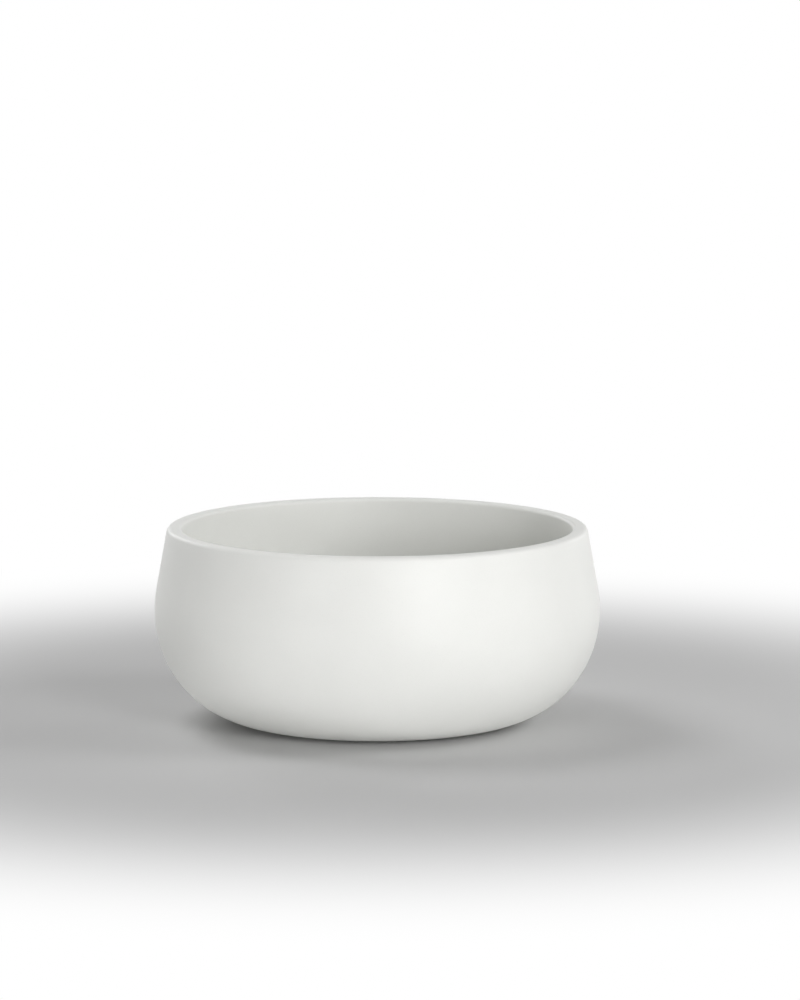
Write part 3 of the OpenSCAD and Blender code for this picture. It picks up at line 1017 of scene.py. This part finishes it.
stageSet = {
    "floorSize": 16,  # metres, as all of the stage
    "floorColour": (0.75, 0.75, 0.75),
    "floorSpread": 0.004,
    "floorBounce": (0.93, 0.93, 0.93),
    "floorRoughness": 0.75,
    "clearRadius": 0.34,
    "whiteRadius": 0.95,
    "roomLight": 0.1,
}


def mathNode(nodes, links, operation, first, second):
    node = nodes.new("ShaderNodeMath")
    node.operation = operation
    links.new(first, node.inputs[0])
    links.new(second, node.inputs[1])
    return node.outputs[0]


def seenDirectly(nodes, links):
    # 1 for camera, glossy and transmitted rays
    rays = nodes.new("ShaderNodeLightPath").outputs
    total = rays["Is Camera Ray"]
    for label in ("Is Glossy Ray", "Is Transmission Ray"):
        total = mathNode(nodes, links, "MAXIMUM", total, rays[label])
    return total


def paleFloorPaint():
    # plain near the basin, fading to white around it, and paler in the light it gives back
    s = stageSet
    f = Finish("paleFloorPaint")
    plain = f.mottle(s["floorColour"], s["floorSpread"], scale=3, detail=3)
    seen = seenDirectly(f.nodes, f.links)
    f.plug(f.blend(seen, toLinear(s["floorBounce"]), plain), "Base Color")
    f.put("Roughness", s["floorRoughness"])
    far = f.nodes.new("ShaderNodeVectorMath")
    far.operation = "LENGTH"
    f.links.new(f.place, far.inputs[0])
    fade = f.remap(far.outputs["Value"], 0, 1, s["clearRadius"], s["whiteRadius"], "SMOOTHERSTEP")
    share = mathNode(f.nodes, f.links, "MULTIPLY", fade, seen)
    white = f.nodes.new("ShaderNodeEmission")
    white.inputs["Strength"].default_value = 1
    both = f.nodes.new("ShaderNodeMixShader")
    f.links.new(share, both.inputs[0])
    f.links.new(f.shader.outputs[0], both.inputs[1])
    f.links.new(white.outputs[0], both.inputs[2])
    f.links.new(both.outputs[0], f.nodes["Material Output"].inputs["Surface"])
    return f.material


deselectAll()
bpy.ops.mesh.primitive_plane_add(size=stageSet["floorSize"], location=(0, 0, 0))
floor = bpy.context.object
floor.name = "paleFloor"
floor.data.materials.append(paleFloorPaint())


# camera: metres, the pitch in radians, lens and sensor in mm

cameraSet = {
    "distance": 5.0,
    "height": 0.9176,
    "side": 0.0204,
    "pitch": 0.1426,
    "lens": 202.86,
    "sensorWidth": 36,
    "farthest": 60,
}

cameraData = bpy.data.cameras.new("photoCamera")
camera = bpy.data.objects.new("photoCamera", cameraData)
bpy.context.scene.collection.objects.link(camera)
camera.location = (cameraSet["side"], -cameraSet["distance"], cameraSet["height"])
camera.rotation_euler = (math.pi / 2 - cameraSet["pitch"], 0, 0)
cameraData.lens = cameraSet["lens"]
cameraData.sensor_width = cameraSet["sensorWidth"]
cameraData.clip_end = cameraSet["farthest"]
bpy.context.scene.camera = camera


# lamps, and the even light from all round

lampSet = {
    # name: (turn from the camera, height angle, distance, disc size, watts)
    "frontLeft": (-31, 5, 2.6, 0.5, 14.5),
    "frontRight": (25, 15, 2.6, 0.9, 27.3),
    "right": (80, 32, 2.6, 1.2, 21),
    "backRight": (140, 16, 2.6, 0.8, 7),
    "backLeft": (-150, 25, 2.6, 1.0, 13),
    "topLeft": (-120, 60, 2.6, 1.2, 20),
}

lampAim = Vector((0, 0, 0.1))


def softLamp(name, turn, rise, distance, size, watts):
    lampData = bpy.data.lights.new(name, "AREA")
    lampData.shape = "DISK"
    lampData.size = size
    lampData.energy = watts
    lamp = bpy.data.objects.new(name, lampData)
    bpy.context.scene.collection.objects.link(lamp)
    turn, rise = math.radians(turn), math.radians(rise)
    way = Vector((math.cos(rise) * math.sin(turn), -math.cos(rise) * math.cos(turn),
                  math.sin(rise)))
    lamp.location = lampAim + way * distance
    lamp.rotation_euler = way.to_track_quat("Z", "Y").to_euler()
    lamp.visible_camera = False


for name, values in lampSet.items():
    softLamp(name, *values)

scene = bpy.context.scene
scene.world = scene.world or bpy.data.worlds.new("paleRoom")
scene.world.use_nodes = True
room = scene.world.node_tree
background = room.nodes["Background"]
background.inputs["Color"].default_value = (1, 1, 1, 1)
strength = room.nodes.new("ShaderNodeMapRange")
strength.inputs["To Min"].default_value = stageSet["roomLight"]
strength.inputs["To Max"].default_value = 1
room.links.new(seenDirectly(room.nodes, room.links), strength.inputs["Value"])
room.links.new(strength.outputs["Result"], background.inputs["Strength"])
scene.view_settings.view_transform = "Standard"
print("camera and light set")
